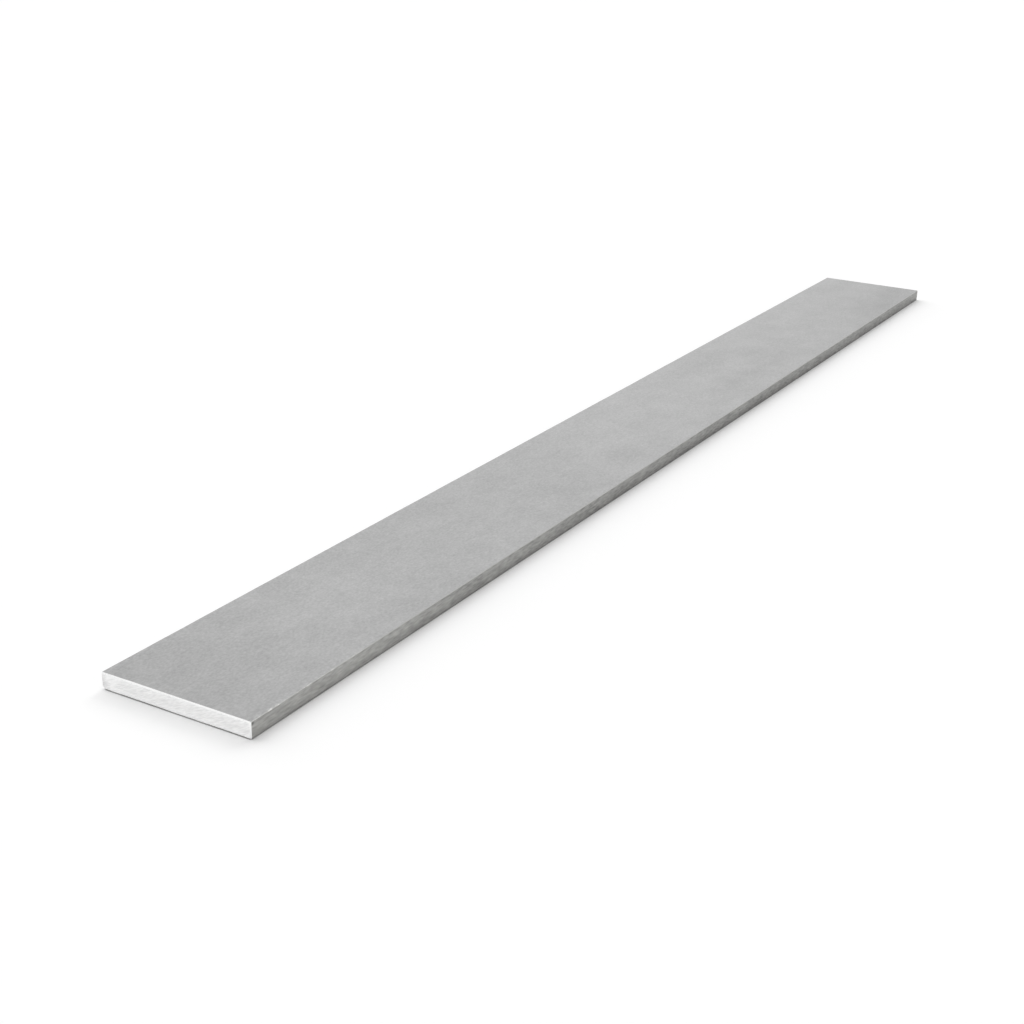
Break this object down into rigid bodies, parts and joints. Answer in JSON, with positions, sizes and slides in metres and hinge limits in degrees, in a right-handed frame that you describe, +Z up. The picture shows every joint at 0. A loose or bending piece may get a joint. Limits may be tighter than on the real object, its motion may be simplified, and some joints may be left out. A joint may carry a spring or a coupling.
{
  "type": "flat bar",
  "caption": "Straight flat bar of mill-finish aluminium: thin rectangular section with slightly rounded long edges and square sawn ends, deburred all round.",
  "frame": {"origin": "middle of the wide face that the bar lies on", "axes": "+X along the bar, +Y across its width, +Z up through its thickness"},
  "size_m": [0.55, 0.05, 0.005],
  "materials": {
    "mill_aluminium": "mill finish: soft grey with faint cloudy marks and lengthwise die lines, brighter on the sawn ends"
  },
  "bodies": {
    "root": {"flat_bar": "mill_aluminium"}
  },
  "joints": []
}
